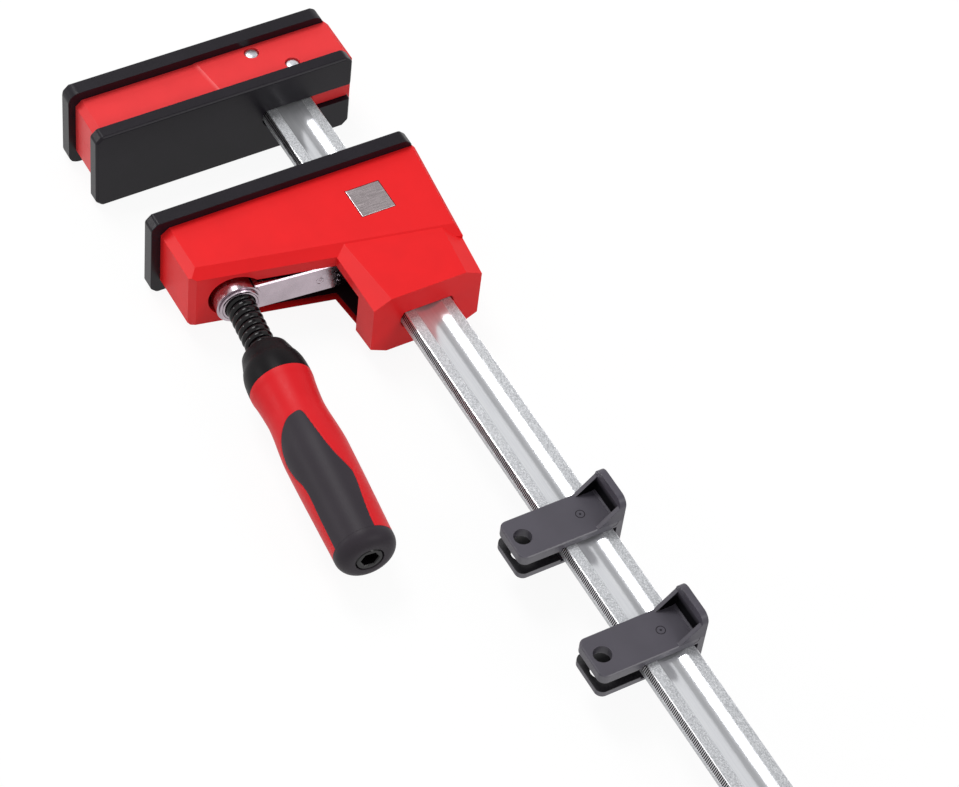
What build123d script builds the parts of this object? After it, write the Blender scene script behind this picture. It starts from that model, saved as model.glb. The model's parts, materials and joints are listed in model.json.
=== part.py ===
from build123d import *
import math
import os

# Parallel-jaw bar clamp: a steel rail, a fixed jaw at its end, a sliding jaw with a screw handle,
# and two plastic clips on the rail. All lengths are in millimetres.
#
# Frame: the origin is the middle of the fixed jaw's clamping face, at mid throat depth.
# +X runs along the rail towards the moving jaw, +Y from the jaw's tip towards the rail,
# and +Z is up, with the clamp lying flat.
# The functions below build in the rail's frame, where y = 0 is the rail's middle plane.
# save() moves each piece from there to the part's frame.

# Rail
rail_width = 29.0
rail_thickness = 10.0
rail_lean = 1.6             # how far a flank leans in between the rail's side and its land
rail_band = 3.6             # height of the upright band along each side
rail_groove_width = 14.6
rail_groove_depth = 1.6

# Openings between the clamping faces
opening_width = 600.0       # at the widest
throat = 95.0               # from the rail's side to the jaw's tip
jaw_gap = 55.9              # opening at rest

# Pads
pad_height = 50.0
pad_thickness = 7.3
pad_overrun = 22.0          # pad length past the rail's far side
pad_corner = 3.5
pad_edge = 1.0

# Fixed jaw
fixed_depth = 27.7          # between its two pads
body_height = 40.0
casing_set_back = 4.0       # casing tip behind the pad's tip
casing_overrun = 3.5        # casing past the pad's other end
casing_chamfer_rise = 4.0
casing_chamfer_run = 3.4
casing_wall = 1.7
casing_floor = 5.8
casing_side = 3.6
plateau_rise = 0.6
plateau_start = 36.0        # from the rail's middle plane towards the tip
plateau_skew = 8.0          # degrees between the plateau's edge and the rail
plateau_ramp = 2.6
core_rib = 5.0
pin_radius = 3.0
pin_head_radius = 3.8
pin_head_sink = 0.3         # head's crown below the casing's top
pin_dome = 1.2
near_pin_depth = 6.0        # behind the front pad's back face
far_pin_depth = 21.4
pin_offset = 8.1            # of each pin from the rail's middle plane

# Rail end stop
stop_length = 15.0
stop_wall = 4.2
stop_cap = 3.0
stop_pin_radius = 1.5
stop_chamfer = 2.0

# Moving jaw housing
housing_tip_back = 5.1      # housing tip behind the pad's tip
housing_tip_length = 35.8   # along the rail, at the tip
housing_corner = 3.0
housing_rear_slope = 11.7   # degrees between the rear face and the pad
housing_overrun = 2.7       # housing past the pad's other end
housing_side_draft = 6.1    # degrees between the far side and the rail
housing_side_run = 2.6
housing_tip_run = 4.6
housing_rear_run = 5.9
housing_chamfer_rise = 3.6
tail_length = 88.3          # from the pad's back face to the rear face
tail_half_width = 32.3
tail_draft = 1.5
tail_drop = 0.6             # tail's top below the housing's top
tail_bevel_rise = 5.0
tail_bevel_run = 9.3
tail_bevel_taper = 6.7
mouth_front = 26.3          # arm's cavity, from the pad's back face
tail_wall = 15.2            # behind the mouth
mouth_top = 9.8
mouth_floor = 17.0
mouth_side = 27.0
eye_recess_radius = 14.0
lighten_start = 22.0
lighten_end = 56.0
lighten_half_height = 16.0

# Moving jaw core
plate_depth = 7.5
plate_margin = 4.6          # core plate inside the housing's outline
plate_half_height = 16.0
tower_depth = 13.8
tower_half_width = 19.4
tower_half_height = 13.7
tower_offset = 1.2
thrust_plate_depth = 3.5
retainer_depth = 3.0
retainer_ledge = 3.2
guide_depth = 11.0
guide_wall = 4.8
badge_side = 18.6
badge_thickness = 0.8
badge_sink = 0.6
badge_back = 25.1           # badge middle, from the pad's back face

# Sliding arm and screw
screw_tilt = 5.1            # degrees between the screw and the rail
screw_reach = 67.7          # screw axis at the arm's rear face, from the rail's side
screw_face = 44.1           # that point's distance behind the pad's back face
arm_depth = 11.0
arm_half_height = 8.6
arm_past_rail = 5.2
arm_edge = 0.7
eye_radius = 12.0
eye_front = 12.0
eye_rear = 1.2
nut_radius = 9.0
nut_flange_radius = 10.6
nut_flange = 1.4
thread_radius = 7.8
thread_root_depth = 1.3
neck_radius = 5.0
spring_length = 9.0
spring_height = 6.0
spring_thickness = 0.5
spring_bow = 0.7
spring_pocket = 1.9

# Thrust shoe
shoe_depth = 7.0
shoe_half = 8.0
shoe_socket = 4.6
shoe_play_forward = 2.1     # sideways room for the screw's tilt, clamping
shoe_play_back = 0.7        # the same, opening
ring_thickness = 1.2
ring_bite = 0.9

# Handle
handle_start = 33.5         # from the arm's rear face
handle_length = 134.5
handle_neck_radius = 9.6
handle_rim_radius = 11.8
handle_ridge_radius = 15.8
handle_collar_radius = 16.4
handle_waist_radius = 14.7
handle_belly_radius = 16.7
handle_tail_radius = 15.8
handle_end_radius = 8.6
rim_offset = 1.3            # these places are counted from the handle's start
ridge_at = 14.0
collar_at = 21.5
ferrule_length = 23.5
waist_at = 43.5
belly_at = 68.5
tail_at = 122.5
cap_length = 8.0
grip_start = 50.5
grip_depth = 2.4
grip_roll = 24.0            # degrees, the upper grip's middle from straight up
grip_turns = {"upper": 0, "lower": 180}
grip_tip_offset = 2.6       # widths and offsets of the grip are from its middle
grip_thumb_at = 15.0        # and these places from its tip
grip_thumb_width = 14.0
grip_waist_at = 34.0
grip_waist_width = 11.0
grip_knee_width = 12.9
grip_end_width = 11.5
ferrule_counterbore = 5.0
tang_radius = 5.5
tang_cover = 2.5            # between the tang's end and the insert
cross_pin_radius = 2.0
cross_pin_at = 12.0
insert_radius = 6.8
insert_length = 14.0
hex_across_flats = 8.0
hex_depth = 9.0

# Rail clips
clip_near_at = 299.0
clip_far_at = 372.7
clip_width = 23.5
clip_leaf = 3.9
clip_lower_leaf = 2.4
clip_wall = 3.4
clip_reach = 22.5           # leaf past the rail's near side
clip_edge = 0.6
clip_corner = 4.0
clip_lip_height = 15.0
clip_lip_corner = 5.0
clip_lip_run = 11.0
clip_gusset = 2.2
clip_hole_radius = 4.5
clip_hole_margin = 7.0
clip_inner_drop = 1.7

# Fits
seat_gap = 0.1              # between pieces of one body
pin_gap = 0.05
press_room = 0.2
rail_fit = 0.15             # guides on the rail
rail_room = 0.45            # everything else around the rail
screw_fit = 0.05
clip_room = 0.2

# Worked out from the values above
half_rail = rail_width / 2
rail_top = rail_thickness / 2
tip_y = -(half_rail + throat)
pad_end_y = half_rail + pad_overrun
back_x = jaw_gap + pad_thickness
fixed_front = -pad_thickness
fixed_back = fixed_front - fixed_depth
half_body = body_height / 2
rail_start = fixed_back + casing_wall + seat_gap
stop_face = opening_width + pad_thickness + tail_length
rail_end = stop_face + stop_length - stop_cap
face_shift = half_rail + throat / 2
screw_y = -(half_rail + screw_reach)
eye_x = back_x + screw_face
tilt_slope = math.tan(math.radians(screw_tilt))
cut_reach = 2 * (throat + body_height + tail_length)
past = 1.0                  # a cut runs this far past the face that it opens
mouth_rear = tail_length - tail_wall
tang_length = handle_length - insert_length - tang_cover


# Shared shapes

def block(x, y, z):
    """Box between a low and a high limit on each axis."""
    sizes = [high - low for low, high in (x, y, z)]
    middles = [(high + low) / 2 for low, high in (x, y, z)]
    return Pos(*middles) * Box(*sizes)


def plate(outline, low, high):
    """Straight prism on an outline in the XY plane."""
    face = make_face(Polyline(*outline, close=True))
    return Pos(0, 0, low) * extrude(face, amount=high - low, dir=(0, 0, 1))


def trimmed(solid, point, normal):
    """Solid without what lies past the plane through point."""
    half_space = Plane(origin=point, z_dir=normal) * Box(
        cut_reach, cut_reach, cut_reach, align=(Align.CENTER, Align.CENTER, Align.MIN))
    return solid - half_space


def bevelled(solid, first, second, third):
    """Solid with a flat bevel through three points above mid height, and its mirror image below."""
    normal = (Vector(*second) - Vector(*first)).cross(Vector(*third) - Vector(*first)).normalized()
    if normal.Z < 0:
        normal = normal * -1
    upper = trimmed(solid, first, normal)
    low_point = (first[0], first[1], -first[2])
    return trimmed(upper, low_point, Vector(normal.X, normal.Y, -normal.Z))


def turned(stations):
    """Solid of revolution about X through (along, radius) stations."""
    outline = [(stations[0][0], 0)] + stations + [(stations[-1][0], 0)]
    return revolve(make_face(Polyline(*outline, close=True)), axis=Axis.X)


def rod(start, end, radius):
    """Round bar on the X axis."""
    return turned([(start, radius), (end, radius)])


def upright(x, y, low, high, radius):
    """Round bar along Z."""
    return Pos(x, y, (low + high) / 2) * Cylinder(radius, high - low)


def on_screw(piece):
    """Moves a piece built along X, from the arm's rear face, onto the tilted screw axis."""
    return Pos(eye_x, screw_y, 0) * Rot(0, 0, -screw_tilt) * piece


def screw_axis_y(x):
    """Where the screw's axis lies at a place along the rail."""
    return screw_y - (x - eye_x) * tilt_slope


def save(piece, name):
    """Writes one piece in the part's frame."""
    export_step(Pos(0, face_shift, 0) * piece, "parts/" + name + ".step")


# Rail

def rail_passage(start, end, room):
    """Plain envelope of the rail's section, grown by room, for the holes it runs through."""
    side = half_rail + room
    land = half_rail - rail_lean + room
    top = rail_top + room
    band = rail_band / 2
    half = [(-side, band), (-land, top), (land, top), (side, band)]
    outline = half + [(y, -z) for y, z in reversed(half)]
    face = make_face(Polyline(*outline, close=True))
    return Pos(start, 0, 0) * extrude(Plane.YZ * face, amount=end - start, dir=(1, 0, 0))


def rail():
    bar = rail_passage(rail_start, rail_end, 0)
    half_groove = rail_groove_width / 2
    radius = (half_groove ** 2 + rail_groove_depth ** 2) / (2 * rail_groove_depth)
    height = rail_top - rail_groove_depth + radius
    for side in (1, -1):
        bar -= Pos(0, 0, side * height) * rod(rail_start - past, rail_end + past, radius)
    for x, y in fixed_pin_places():
        bar -= upright(x, y, -rail_thickness, rail_thickness, pin_radius + pin_gap)
    bar -= upright(stop_pin_x(), 0, -rail_thickness, rail_thickness, stop_pin_radius + pin_gap)
    return bar


def fixed_pin_places():
    """Middles of the two pins that hold the fixed jaw on the rail."""
    near = (fixed_front - near_pin_depth, pin_offset)
    far = (fixed_front - far_pin_depth, -pin_offset)
    return near, far


def stop_pin_x():
    return (stop_face + rail_end) / 2


def rail_end_stop():
    outer_y = half_rail + stop_wall
    outer_z = rail_top + stop_wall
    cap = block((stop_face, stop_face + stop_length), (-outer_y, outer_y), (-outer_z, outer_z))
    cap = chamfer(cap.edges().filter_by(Axis.X), stop_chamfer)
    cap -= rail_passage(stop_face - past, rail_end + seat_gap, seat_gap)
    return cap - upright(stop_pin_x(), 0, -2 * outer_z, 2 * outer_z, stop_pin_radius + pin_gap)


def end_stop_pin():
    half = rail_top + stop_wall - pin_gap
    return upright(stop_pin_x(), 0, -half, half, stop_pin_radius)


# Pads

def pad(front, front_sign):
    """Pad with its clamping face at front, facing front_sign along X."""
    back = front - front_sign * pad_thickness
    half = pad_height / 2
    low, high = sorted((front, back))
    body = block((low, high), (tip_y, pad_end_y), (-half, half))
    body = chamfer(body.edges().filter_by(Axis.X), pad_corner)
    rim = body.faces().sort_by(Axis.X)[-1 if front_sign > 0 else 0]
    return chamfer(rim.edges(), pad_edge)


def slotted_pad(front, front_sign):
    """Pad that slides over the rail, with its slot open towards the far end."""
    body = pad(front, front_sign)
    start = front - cut_reach / 2
    body -= rail_passage(start, start + cut_reach, rail_room)
    half_slot = rail_top + rail_room
    return body - block((start, start + cut_reach), (0, pad_end_y + past), (-half_slot, half_slot))


# Fixed jaw

def casing_outline():
    """Outside of the fixed jaw's casing, both halves together."""
    tip = tip_y + casing_set_back
    end = pad_end_y + casing_overrun
    top = half_body - plateau_rise
    body = block((fixed_back, fixed_front), (tip, end), (-top, top))
    skew = math.radians(plateau_skew)
    mid_x = (fixed_back + fixed_front) / 2
    edge = (mid_x, -plateau_start, half_body)
    raised = block((fixed_back, fixed_front), (-plateau_start - fixed_depth, end), (-half_body, half_body))
    foot = (mid_x - plateau_ramp * math.sin(skew), -plateau_start - plateau_ramp * math.cos(skew), top)
    along = (mid_x + math.cos(skew), -plateau_start + math.sin(skew), half_body)
    body += bevelled(raised, edge, along, foot)
    shoulder = half_body - casing_chamfer_rise
    body = bevelled(body, (0, tip, shoulder), (1, tip, shoulder), (0, tip + casing_chamfer_run, top))
    return bevelled(body, (0, end, shoulder), (1, end, shoulder), (0, end - casing_chamfer_run, half_body))


def core_limits():
    """Limits of the fixed jaw's core along x, y and z."""
    x = (fixed_back + casing_wall + seat_gap, fixed_front - casing_wall - seat_gap)
    tip = tip_y + casing_set_back + casing_side + seat_gap
    end = pad_end_y + casing_overrun - casing_side - seat_gap
    half = half_body - casing_floor - seat_gap
    return x, (tip, end), (-half, half)


def fixed_jaw_casing():
    """Both halves of the casing, split at mid height."""
    pocket = block(*[(low - seat_gap, high + seat_gap) for low, high in core_limits()])
    body = casing_outline() - pocket
    body -= rail_passage(rail_start - seat_gap, 1, rail_room)
    for x, y in fixed_pin_places():
        body -= upright(x, y, -body_height, body_height, pin_head_radius + press_room)
    upper = trimmed(body, (0, 0, seat_gap / 2), (0, 0, -1))
    lower = trimmed(body, (0, 0, -seat_gap / 2), (0, 0, 1))
    return upper, lower


def fixed_jaw_core():
    x, y, z = core_limits()
    body = block(x, y, z) - rail_passage(rail_start - past, past, seat_gap)
    reach = half_rail + core_rib
    middle = (y[0] - reach) / 2
    pockets = [(y[0] + core_rib, middle - core_rib / 2), (middle + core_rib / 2, -reach)]
    for low, high in pockets:
        for side in (1, -1):
            limits = sorted((side * core_rib / 2, side * (z[1] + past)))
            body -= block((x[0] + core_rib, x[1] - core_rib), (low, high), limits)
    for pin_x, pin_y in fixed_pin_places():
        body -= upright(pin_x, pin_y, z[0] - past, z[1] + past, pin_radius + pin_gap)
    return body


def fixed_jaw_pin(place):
    """Rivet pin with a domed head on each side of the core."""
    seat = core_limits()[2][1] + pin_gap
    crown = half_body - pin_head_sink
    stem = upright(place[0], place[1], -seat, seat, pin_radius)
    for side in (1, -1):
        low, high = sorted((side * seat, side * crown))
        head = upright(place[0], place[1], low, high, pin_head_radius)
        rim = head.edges().filter_by(GeomType.CIRCLE).sort_by(Axis.Z)[-1 if side > 0 else 0]
        stem += chamfer(rim, pin_dome)
    return stem


# Moving jaw

def rear_face_x(y):
    """Place of the housing's sloping rear face."""
    start_y = tip_y + housing_tip_back + housing_corner
    return back_x + housing_tip_length + (y - start_y) * math.tan(math.radians(housing_rear_slope))


def far_side_y(x):
    """Place of the housing's drafted far side."""
    return pad_end_y + housing_overrun - (x - back_x) * math.tan(math.radians(housing_side_draft))


def wedge_corner():
    """Where the sloping rear face would meet the far side."""
    slope = math.tan(math.radians(housing_rear_slope))
    draft = math.tan(math.radians(housing_side_draft))
    x = back_x + (rear_face_x(far_side_y(back_x)) - back_x) / (1 + slope * draft)
    return x, far_side_y(x)


def housing_wedge():
    """Main body of the housing, with its bevelled edges."""
    tip = tip_y + housing_tip_back
    far_x, far_y = wedge_corner()
    outline = [(back_x, tip), (back_x + housing_tip_length - housing_corner, tip),
               (back_x + housing_tip_length, tip + housing_corner),
               (far_x, far_y), (back_x, far_side_y(back_x))]
    body = plate(outline, -half_body, half_body)
    low = half_body - housing_chamfer_rise
    inner_tip = (back_x, tip + housing_tip_run, half_body)
    body = bevelled(body, (back_x, tip, low), (back_x + past, tip, low), inner_tip)
    start = (rear_face_x(tip), tip, low)
    inner = (start[0] - housing_rear_run, tip, half_body)
    body = bevelled(body, start, (far_x, far_y, low), inner)
    side = (back_x, far_side_y(back_x), low)
    return bevelled(body, side, (far_x, far_y, low), (back_x, side[1] - housing_side_run, half_body))


def housing_tail():
    """Block around the rail behind the sloping face."""
    rear = back_x + tail_length
    front = back_x + mouth_front
    top = half_body - tail_drop
    near_rear = -(tail_half_width - tail_draft)
    outline = [(front, -tail_half_width), (rear, near_rear),
               (rear, far_side_y(rear)), (front, far_side_y(front))]
    body = plate(outline, -top, top)
    low = top - tail_bevel_rise
    flank = (rear, near_rear, low)
    body = bevelled(body, flank, (rear, near_rear + tail_bevel_run, top),
                    (front, near_rear + tail_bevel_run - tail_bevel_taper, top))
    far = far_side_y(rear)
    far_front = far_side_y(front)
    return bevelled(body, (rear, far, low), (rear, far - tail_bevel_run, top),
                    (front, far_front - tail_bevel_run, top))


def core_plate_limits():
    """Limits of the moving core's plate along x, y and z."""
    tip = tip_y + housing_tip_back + plate_margin
    end = far_side_y(back_x) - plate_margin
    return (back_x + seat_gap, back_x + plate_depth), (tip, end), (-plate_half_height, plate_half_height)


def tower_limits():
    """Limits of the moving core's tower, which carries the screw's shoe."""
    front = back_x + plate_depth
    middle = screw_axis_y(front) + tower_offset
    y = (middle - tower_half_width, middle + tower_half_width)
    return (front, front + tower_depth), y, (-tower_half_height, tower_half_height)


def guide_limits(front):
    """Limits of a plastic guide around the rail."""
    y = half_rail + guide_wall
    z = rail_top + guide_wall
    return (front, front + guide_depth), (-y, y), (-z, z)


def front_guide_x():
    return back_x + plate_depth + seat_gap


def rear_guide_x():
    return back_x + mouth_rear + seat_gap


def grown(limits, room):
    return [(low - room, high + room) for low, high in limits]


def moving_jaw_housing():
    body = housing_wedge() + housing_tail()
    plate_x, plate_y, plate_z = grown(core_plate_limits(), seat_gap)
    body -= block((back_x - past, plate_x[1]), plate_y, plate_z)
    tower_x, tower_y, tower_z = grown(tower_limits(), seat_gap)
    tower_front = (tower_x[0] - past, tower_x[1])
    body -= block(tower_front, tower_y, tower_z)
    guide_x, guide_y, guide_z = grown(guide_limits(front_guide_x()), seat_gap)
    body -= block((guide_x[0] - past, guide_x[1]), guide_y, guide_z)
    guide_x, guide_y, guide_z = grown(guide_limits(rear_guide_x()), seat_gap)
    body -= block((guide_x[0] - past, guide_x[1]), guide_y, guide_z)
    mouth_x = (back_x + mouth_front, back_x + mouth_rear)
    body -= block(mouth_x, (screw_y, mouth_side), (-mouth_floor, mouth_top))
    recess = rod(tower_x[1] - past, back_x + tail_length, eye_recess_radius)
    body -= Pos(0, screw_axis_y(back_x + housing_tip_length), 0) * recess
    spare_x = (plate_x[1] - past, back_x + mouth_front - casing_side)
    spare_z = (-lighten_half_height, lighten_half_height)
    body -= block(spare_x, (-lighten_end, -lighten_start - guide_wall), spare_z)
    body -= rail_passage(back_x - past, back_x + tail_length + past, rail_room)
    badge = block(*badge_limits())
    return body - badge


def badge_limits():
    """Seat of the blank badge plate on the housing's top."""
    half = badge_side / 2 + seat_gap
    x = back_x + badge_back
    return (x - half, x + half), (-half, half), (half_body - badge_sink, half_body + badge_thickness)


def badge_plate():
    half = badge_side / 2
    bottom = half_body - badge_sink
    middle = back_x + badge_back
    body = block((middle - half, middle + half), (-half, half), (bottom, bottom + badge_thickness))
    return chamfer(body.faces().sort_by(Axis.Z)[-1].edges(), badge_thickness / 4)


def shoe_limits():
    """Limits of the thrust shoe, square to the jaw."""
    front = back_x + plate_depth + thrust_plate_depth + seat_gap
    middle = screw_axis_y(front + shoe_depth / 2)
    y = (middle - shoe_half, middle + shoe_half)
    return (front, front + shoe_depth), y, (-shoe_half, shoe_half)


def shoe_track():
    """Room the shoe needs inside the tower, along y and z."""
    y, z = shoe_limits()[1:]
    return (y[0] - shoe_play_back, y[1] + shoe_play_forward), (z[0] - press_room, z[1] + press_room)


def retainer_limits():
    front = shoe_limits()[0][1] + press_room
    y, z = shoe_track()
    y = (y[0] - retainer_ledge, y[1] + retainer_ledge)
    z = (z[0] - retainer_ledge, z[1] + retainer_ledge)
    return (front, front + retainer_depth), y, z


def neck_slot():
    """Slot in the retainer for the screw's neck, open on one side."""
    x, y, z = retainer_limits()
    middle = screw_axis_y((x[0] + x[1]) / 2)
    half = neck_radius + press_room
    side = half + shoe_play_forward
    return block((x[0] - past, x[1] + past), (y[0] - past, middle + side), (-half, half))


def moving_jaw_core():
    body = block(*core_plate_limits()) + block(*tower_limits())
    x, y, z = tower_limits()
    track_y, track_z = shoe_track()
    body -= block((x[0] - seat_gap, x[1] + past), track_y, track_z)
    seat_x, seat_y, seat_z = grown(retainer_limits(), seat_gap)
    body -= block((seat_x[0], x[1] + past), seat_y, seat_z)
    return body - rail_passage(back_x - past, back_x + plate_depth + past, rail_room)


def thrust_plate():
    front = back_x + plate_depth
    track_y, track_z = shoe_track()
    y = (track_y[0] + seat_gap, track_y[1] - seat_gap)
    z = (track_z[0] + seat_gap, track_z[1] - seat_gap)
    return block((front, front + thrust_plate_depth), y, z)


def shoe_retainer():
    return block(*retainer_limits()) - neck_slot()


def rail_guide(front):
    body = chamfer(block(*guide_limits(front)).edges().filter_by(Axis.X), rail_lean)
    return body - rail_passage(front - past, front + guide_depth + past, rail_fit)


# Sliding arm, in the screw's own frame: x from the arm's rear face, y from the screw's axis

def rail_in_screw_frame(start, end, room):
    """The rail's envelope as the arm meets it."""
    return Rot(0, 0, screw_tilt) * Pos(-eye_x, -screw_y, 0) * rail_passage(start, end, room)


def sliding_arm():
    length = -screw_y / math.cos(math.radians(screw_tilt)) + half_rail + arm_past_rail
    bar = block((-arm_depth, 0), (0, length), (-arm_half_height, arm_half_height))
    bar = chamfer(bar.edges().filter_by(Axis.Y), arm_edge)
    bar += rod(-eye_front, eye_rear, eye_radius)
    bar -= rod(-eye_front - past, eye_rear + past, nut_radius + pin_gap)
    bar -= rail_in_screw_frame(eye_x - cut_reach / 4, eye_x + cut_reach / 4, rail_room)
    return on_screw(bar) - spring_seat()


def spring_middle():
    """Middle of the brake spring: beside the rail, at the arm's mid depth."""
    x = eye_x - screw_y * tilt_slope - arm_depth / 2 + half_rail * tilt_slope
    return x, half_rail + rail_room


def spring_seat():
    """Pocket in the arm for the brake spring."""
    x, y = spring_middle()
    half = spring_length / 2 + seat_gap
    half_z = spring_height / 2 + seat_gap
    return block((x - half, x + half), (y - past, y + spring_pocket), (-half_z, half_z))


def arm_brake_spring():
    """Bowed leaf that rubs on the rail's side."""
    x, y = spring_middle()
    half = spring_length / 2
    outer = y + spring_pocket - seat_gap
    inner = outer - spring_thickness
    far_arc = ThreePointArc((x - half, outer), (x, outer - spring_bow), (x + half, outer))
    near_arc = ThreePointArc((x + half, inner), (x, inner - spring_bow), (x - half, inner))
    ends = [Line((x + half, outer), (x + half, inner)), Line((x - half, inner), (x - half, outer))]
    face = make_face([far_arc, ends[0], near_arc, ends[1]])
    strip = extrude(face, amount=spring_height, dir=(0, 0, 1))
    return Pos(0, 0, -spring_height / 2) * strip


def screw_nut():
    body = rod(-eye_front, eye_rear + seat_gap, nut_radius)
    body += rod(eye_rear + seat_gap, eye_rear + seat_gap + nut_flange, nut_flange_radius)
    return on_screw(body - rod(-eye_front - past, eye_rear + nut_flange + past, thread_radius + screw_fit))


# Screw and shoe

def screw_stations():
    """Places along the screw: its tip in the shoe, the neck's end and the thread's start."""
    shoe_x = shoe_limits()[0]
    lean = math.cos(math.radians(screw_tilt))
    tip = (shoe_x[1] - shoe_socket - eye_x) / lean
    thread = (retainer_limits()[0][1] + thread_radius * tilt_slope + press_room - eye_x) / lean
    return tip, thread


def thrust_shoe():
    x = shoe_limits()[0]
    body = chamfer(block(*shoe_limits()).edges().filter_by(Axis.X), clip_edge)
    tip, thread = screw_stations()
    bore = rod(tip - seat_gap, thread, neck_radius + screw_fit)
    groove = rod(*ring_span(seat_gap), neck_radius + ring_bite + seat_gap)
    return body - on_screw(bore + groove)


def ring_span(room):
    """Where the shoe's ring lies along the screw, grown by room."""
    middle = screw_stations()[0] + shoe_socket / 2
    half = ring_thickness / 2 + room
    return middle - half, middle + half


def shoe_ring():
    start, end = ring_span(0)
    inner = neck_radius - ring_bite
    ring = rod(start, end, neck_radius + ring_bite) - rod(start - past, end + past, inner)
    return on_screw(ring)


def screw_spindle():
    tip, thread = screw_stations()
    shoulder = handle_start + ferrule_counterbore - seat_gap
    end = handle_start + tang_length
    body = turned([(tip, neck_radius), (thread, neck_radius), (thread, thread_radius - thread_root_depth),
                   (thread + thread_root_depth, thread_radius), (shoulder, thread_radius),
                   (shoulder, tang_radius), (end, tang_radius)])
    start, stop = ring_span(seat_gap)
    groove_floor = neck_radius - ring_bite - seat_gap
    body -= rod(start, stop, 2 * neck_radius) - rod(start - past, stop + past, groove_floor)
    return on_screw(body - cross_pin(pin_gap))


# Handle, in the screw's frame

def handle_blank(skin):
    """Outside of the whole handle, taken in by skin."""
    x = handle_start
    ferrule = Polyline((x, handle_neck_radius - skin),
                       (x + rim_offset, handle_rim_radius - skin),
                       (x + ridge_at, handle_ridge_radius - skin),
                       (x + collar_at, handle_collar_radius - skin))
    sides = Spline((x + collar_at, handle_collar_radius - skin),
                   (x + waist_at, handle_waist_radius - skin),
                   (x + belly_at, handle_belly_radius - skin),
                   (x + tail_at, handle_tail_radius - skin),
                   tangents=[(1, 0), (1, 0)])
    end = x + handle_length
    shoulder = x + tail_at
    dome = Spline((shoulder, handle_tail_radius - skin), (end, handle_end_radius - skin),
                  tangents=[(1, 0), (0, -1)])
    sole = Polyline((end, handle_end_radius - skin), (end, 0), (x, 0), (x, handle_neck_radius - skin))
    return revolve(make_face([ferrule, sides, dome, sole]), axis=Axis.X)


def handle_slice(start, end):
    """Part of the handle between two places along it."""
    wide = 2 * handle_belly_radius
    return handle_blank(0) & rod(handle_start + start, handle_start + end, wide)


def cross_pin(room):
    """Pin across the tang, buried in the moulded ferrule, grown by room."""
    length = 2 * (handle_neck_radius + room)
    return Pos(handle_start + cross_pin_at, 0, 0) * Cylinder(cross_pin_radius + room, length)


def tang_hole():
    return rod(handle_start - past, handle_start + tang_length + seat_gap, tang_radius + pin_gap)


def handle_ferrule():
    body = handle_slice(0, ferrule_length - seat_gap) - tang_hole()
    body -= rod(handle_start - past, handle_start + ferrule_counterbore, thread_radius + pin_gap)
    return on_screw(body - cross_pin(pin_gap))


def handle_cross_pin():
    return on_screw(cross_pin(0))


def grip_skin(half_turn):
    """Soft grip panel: a thumb rest that narrows to a strip along the handle."""
    x = handle_start + grip_start
    end = handle_start + handle_length - cap_length
    waist = x + grip_waist_at
    right = Spline((x, grip_tip_offset), (waist, grip_knee_width), (end, grip_end_width),
                   tangents=[(2, 1), (1, 0)])
    left = Spline((end, -grip_end_width), (waist, -grip_waist_width), (x + grip_thumb_at, -grip_thumb_width),
                  (x, grip_tip_offset), tangents=[(-1, 0), (0, 1)])
    face = make_face([right, Line((end, grip_end_width), (end, -grip_end_width)), left])
    window = extrude(face, amount=2 * handle_belly_radius, dir=(0, 0, 1))
    panel = (handle_blank(0) - handle_blank(grip_depth)) & window
    return Rot(grip_roll + half_turn, 0, 0) * panel


def insert_hole():
    end = handle_start + handle_length
    return rod(end - insert_length - 2 * seat_gap, end + past, insert_radius + pin_gap)


def handle_core():
    body = handle_slice(ferrule_length, handle_length - cap_length) - tang_hole() - insert_hole()
    for turn in grip_turns.values():
        body -= grip_skin(turn)
    return on_screw(body)


def handle_end_cap():
    body = handle_slice(handle_length - cap_length + seat_gap, handle_length)
    return on_screw(body - insert_hole())


def hex_insert():
    end = handle_start + handle_length - seat_gap
    body = rod(end - insert_length, end, insert_radius)
    hexagon = RegularPolygon(hex_across_flats / 2, 6, major_radius=False)
    socket = extrude(Plane.YZ * hexagon, amount=2 * hex_depth, dir=(1, 0, 0))
    return on_screw(body - Pos(end - hex_depth, 0, 0) * socket)


# Rail clips

def clip_gusset_wall(x, inner, outer, base, top):
    """Triangular side wall between the clip's leaf and its lip."""
    outline = Polyline((inner, base), (outer, base), (outer, top), close=True)
    wall = extrude(Plane.YZ * make_face(outline), amount=clip_gusset, dir=(1, 0, 0))
    return Pos(x, 0, 0) * wall


def rail_clip(middle):
    half = clip_width / 2
    near = -(half_rail + clip_reach)
    inside = half_rail + clip_room
    outside = inside + clip_wall
    bottom = rail_top + clip_room
    top = bottom + clip_leaf
    under = bottom + clip_lower_leaf
    crest = top + clip_lip_height
    leaves = block((-half, half), (near, outside), (-under, top))
    corners = leaves.edges().filter_by(Axis.Z).sort_by(Axis.Y)[:2]
    leaves = fillet(corners, clip_corner)
    flats = leaves.faces().sort_by(Axis.Z)
    leaves = chamfer(flats[0].edges() + flats[-1].edges(), clip_edge)
    lip = block((-half, half), (inside, outside), (0, crest))
    crown = lip.edges().filter_by(Axis.Y).sort_by(Axis.Z)[-2:]
    lip = fillet(crown, clip_lip_corner)
    body = leaves + lip
    run = inside - clip_lip_run
    for x in (-half, half - clip_gusset):
        body += clip_gusset_wall(x, run, inside, top - clip_edge, crest - clip_lip_corner)
    body -= block((-half - past, half + past), (-half_rail - clip_room, inside), (-bottom, bottom))
    gap = bottom - clip_inner_drop
    body -= block((-half - past, half + past), (near - past, -half_rail), (-gap, gap))
    hole_y = near + clip_hole_margin
    body -= upright(0, hole_y, -2 * top, 2 * top, clip_hole_radius)
    return Pos(middle, 0, 0) * body


# All pieces

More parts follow.
